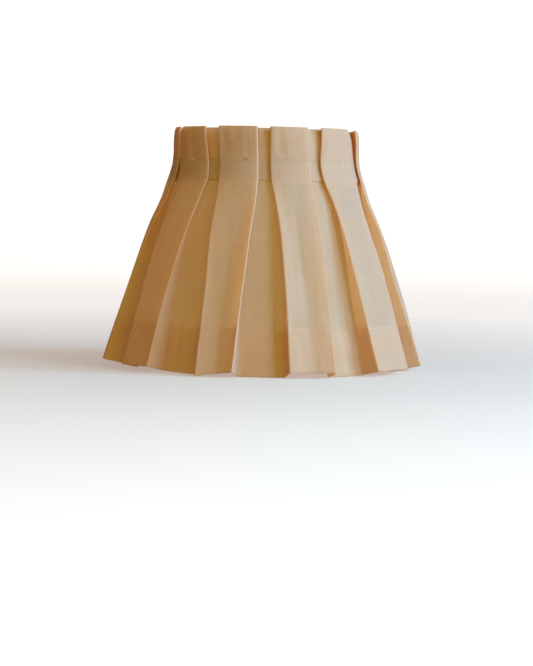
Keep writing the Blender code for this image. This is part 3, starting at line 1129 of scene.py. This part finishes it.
for number in range(RIB_COUNT):
    low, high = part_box(f"rib_{number + 1}")
    top, bottom = rib_ends(number)
    overrun = (top - bottom).normalized() * RIB_OVERRUN
    line = [bottom - overrun, bottom, (top + bottom) / 2, top, top + overrun]
    rib = wire_piece(f"rib_wire_{number + 1}", f"rib_{number + 1}", line, RIB_WIRE, coat)
    print(rib.name, "z", round(low.z, 4), "to", round(high.z, 4))

# %% [markdown]
# The three arms each run level over the top ring, bend down and inwards, and bend again to lie flat on the
# fitter ring. Wire is bent round a pin, so every bend has the same small radius. The bends are drawn as arcs.

# %% Make the arms
fitter_low, fitter_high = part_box("fitter_ring")
FITTER_TOP = fitter_high.z
FITTER_OUTER = fitter_high.x
ARM_COUNT = 3
ARM_WIRE = 3 * MM / 2
ARM_BEND = 6 * MM
ARM_SHELF = 8 * MM
FOOT_END = 24.8 * MM
SHELF_Z = TOP_RING_Z + RING_WIRE + ARM_WIRE + FIT_GAP
FOOT_Z = FITTER_TOP + FIT_GAP + ARM_WIRE


def arc(before, corner, after, radius, steps):
    """The points of an arc that rounds a corner between two straight runs."""
    back, ahead = (before - corner).normalized(), (after - corner).normalized()
    half = back.angle(ahead) / 2
    centre = corner + (back + ahead).normalized() * radius / math.sin(half)
    start = corner + back * radius / math.tan(half) - centre
    end = corner + ahead * radius / math.tan(half) - centre
    return [centre + start.slerp(end, step / steps) * radius for step in range(steps + 1)]


def arm_turn(number):
    """The direction of an arm, as an angle round the axis."""
    return FRONT + math.radians(60 + 120 * number)


for number in range(ARM_COUNT):
    turn = arm_turn(number)
    start = polar(TOP_RING_RADIUS, turn, SHELF_Z)
    shelf = polar(TOP_RING_RADIUS - ARM_SHELF, turn, SHELF_Z)
    foot = polar(FITTER_OUTER + ARM_BEND, turn, FOOT_Z)
    end = polar(FOOT_END, turn, FOOT_Z)
    line = [start, *arc(start, shelf, foot, ARM_BEND, 8), *arc(shelf, foot, end, ARM_BEND, 8), end]
    wire_piece(f"arm_wire_{number + 1}", f"fitter_arm_{number + 1}", line, ARM_WIRE, coat)
print(f"arms drop {(SHELF_Z - FOOT_Z) / MM:.1f} mm")

# %% [markdown]
# ## Weld beads
#
# Where two wires cross they are pressed together and welded, which leaves a small lump that the coating
# smooths over. Geometry Nodes put one lump on each crossing, each turned its own way and a little uneven.


# %% Weld the crossings
def weld_tree():
    """A lumpy bead on each point that the tree is given."""
    sizes = {"Size": ("Float", 2 * MM), "Lumps": ("Float", 0.4 * MM), "Seed": ("Int", 5)}
    g, given = geometry_graph("weld_beads", {**sizes, "Coating": ("Material", None)})
    ball = g.node("GeometryNodeMeshIcoSphere", None, {"Radius": 1.0, "Subdivisions": 3})
    limits = {"Seed": given["Seed"], 1: (6.28, 6.28, 6.28)}
    turn = g.node("FunctionNodeRandomValue", {"data_type": "FLOAT_VECTOR"}, limits)
    placing = {"Points": given, "Instance": ball, "Rotation": turn, "Scale": given["Size"]}
    balls = g.node("GeometryNodeInstanceOnPoints", None, placing)
    real = g.node("GeometryNodeRealizeInstances", None, {"Geometry": balls})
    rough = g.node("ShaderNodeTexNoise", None, {"Scale": 420.0, "Detail": 1.0})
    reach = (rough - 0.5) * given["Lumps"]
    out = g.node("GeometryNodeInputNormal")
    push = g.node("ShaderNodeVectorMath", {"operation": "SCALE"}, {0: out, "Scale": reach})
    lumpy = g.node("GeometryNodeSetPosition", None, {"Geometry": real, "Offset": push})
    return finish_geometry(g, lumpy, given["Coating"])


def rib_crossings():
    """The middle of each contact between a rib and a ring."""
    for number in range(RIB_COUNT):
        for end in rib_ends(number):
            out = Vector((end.x, end.y, 0)).normalized()
            yield end + out * (RIB_WIRE + FIT_GAP / 2)


def arm_crossings():
    """The middle of each contact of an arm: with the top ring, and at both ends of its foot."""
    for number in range(ARM_COUNT):
        turn = arm_turn(number)
        yield polar(TOP_RING_RADIUS, turn, SHELF_Z - ARM_WIRE - FIT_GAP / 2)
        for reach in (FOOT_END + 2.5 * MM, FITTER_OUTER - 2 * MM):
            yield polar(reach, turn, FITTER_TOP + FIT_GAP / 2)


crossings = [tuple(place) for place in (*rib_crossings(), *arm_crossings())]
points = bpy.data.meshes.new("crossings")
points.from_pydata(crossings, [], [])
values = {"Size": 1.6 * MM, "Lumps": 0.8 * MM, "Seed": 5, "Coating": coat}
welds = run_tree("weld_beads", points, weld_tree(), values)
tie(welds)
print(len(crossings), "weld beads,", len(welds.data.polygons), "faces")

# %% [markdown]
# ## Fitter and reducer
#
# The fitter ring is a flat steel washer that sits on the lamp holder, and the plastic reducer drops into it
# for holders of the smaller size. Both are turned shapes: a profile is spun round the axis. Their edges are
# rounded in the profile itself, because light always finds a rounded edge first.

# %% Turn a profile
BORE = 42 * MM / 2
SMOOTH_UNDER = 40 * DEGREE  # between two faces


def turned_piece(name, node, profile, material, turns=128):
    """A ring with the profile's corners, given as (radius, height, radius of the rounding)."""
    corners = [Vector((radius, z, 0)) for radius, z, _ in profile]
    outline = []
    for i, corner in enumerate(corners):
        outline += arc(corners[i - 1], corner, corners[(i + 1) % len(corners)], profile[i][2], 4)
    rings = [[polar(p.x, math.tau * i / turns, p.y) for p in outline] for i in range(turns)]
    mesh = skin(name, rings, "joined")
    mesh.materials.append(material)
    piece = put(name, mesh)
    tie(piece, node)
    return piece


profile = [
    (BORE, fitter_low.z, 0.45 * MM),
    (FITTER_OUTER, fitter_low.z, 0.45 * MM),
    (FITTER_OUTER, FITTER_TOP, 0.45 * MM),
    (BORE, FITTER_TOP, 0.45 * MM),
]
washer = turned_piece("fitter_washer", "fitter_ring", profile, coat)
washer.data.set_sharp_from_angle(angle=SMOOTH_UNDER)
print("washer", len(washer.data.polygons), "faces")

# %% [markdown]
# The reducer is moulded in white plastic. Its mould leaves a fine satin grain, and its flange has small
# grips round the edge so that it can be pressed in with a thumb.

# %% Mould the reducer
reducer_low, reducer_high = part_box("reducer_ring")
REDUCER_BORE = 29 * MM / 2
SPIGOT = BORE - FIT_GAP
FLANGE = reducer_high.x
SEAT = FITTER_TOP + FIT_GAP
GRIPS = 48
GRIP_DEPTH = 0.25 * MM
GRIP_EDGE = 0.6 * MM  # how far in from the flange's edge they reach


def white_plastic():
    """Satin white plastic with a fine grain."""
    g = material_graph("white_plastic")
    place = g.own_place()
    grain = g.noise(place, 2200.0, 2.0)
    tone = g.noise(place, 90.0, 3.0)
    colour = g.ramp(tone, (0.3, (0.84, 0.83, 0.79)), (0.7, (0.89, 0.88, 0.85)))
    normal = g.bump(grain, 0.2, 0.05 * MM)
    return g.finish(g.surface(Base_Color=colour, Roughness=0.38 + 0.15 * tone, Normal=normal))


def press_grips(mesh):
    """Presses notches into the edge of the flange."""
    for vertex in mesh.vertices:
        reach = Vector(vertex.co).xy.length
        if reach > FLANGE - GRIP_EDGE:
            turn = math.atan2(vertex.co.y, vertex.co.x)
            notch = GRIP_DEPTH * max(0.0, math.cos(turn * GRIPS)) ** 2
            vertex.co.xy *= 1 - notch / reach


profile = [
    (REDUCER_BORE, reducer_high.z, 0.4 * MM),
    (REDUCER_BORE, reducer_low.z, 0.3 * MM),
    (SPIGOT, reducer_low.z, 0.5 * MM),
    (SPIGOT, SEAT, 0.15 * MM),
    (FLANGE, SEAT, 0.3 * MM),
    (FLANGE, reducer_high.z, 0.5 * MM),
]
reducer = turned_piece("reducer_bush", "reducer_ring", profile, white_plastic(), 192)
press_grips(reducer.data)
reducer.data.set_sharp_from_angle(angle=SMOOTH_UNDER)
print("reducer", len(reducer.data.polygons), "faces")

# %% [markdown]
# ## Finish
#
# The last step prints how far the box round everything shown stands out of the box of the imported
# frame.

# %% Compare the boxes
shown_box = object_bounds()
for axis, label in enumerate("xyz"):
    grown = [(shown_box[1][axis] - cad_box[1][axis]) / MM, (cad_box[0][axis] - shown_box[0][axis]) / MM]
    print(label, "stands out", " and ".join(f"{g:.2f} mm" for g in grown))
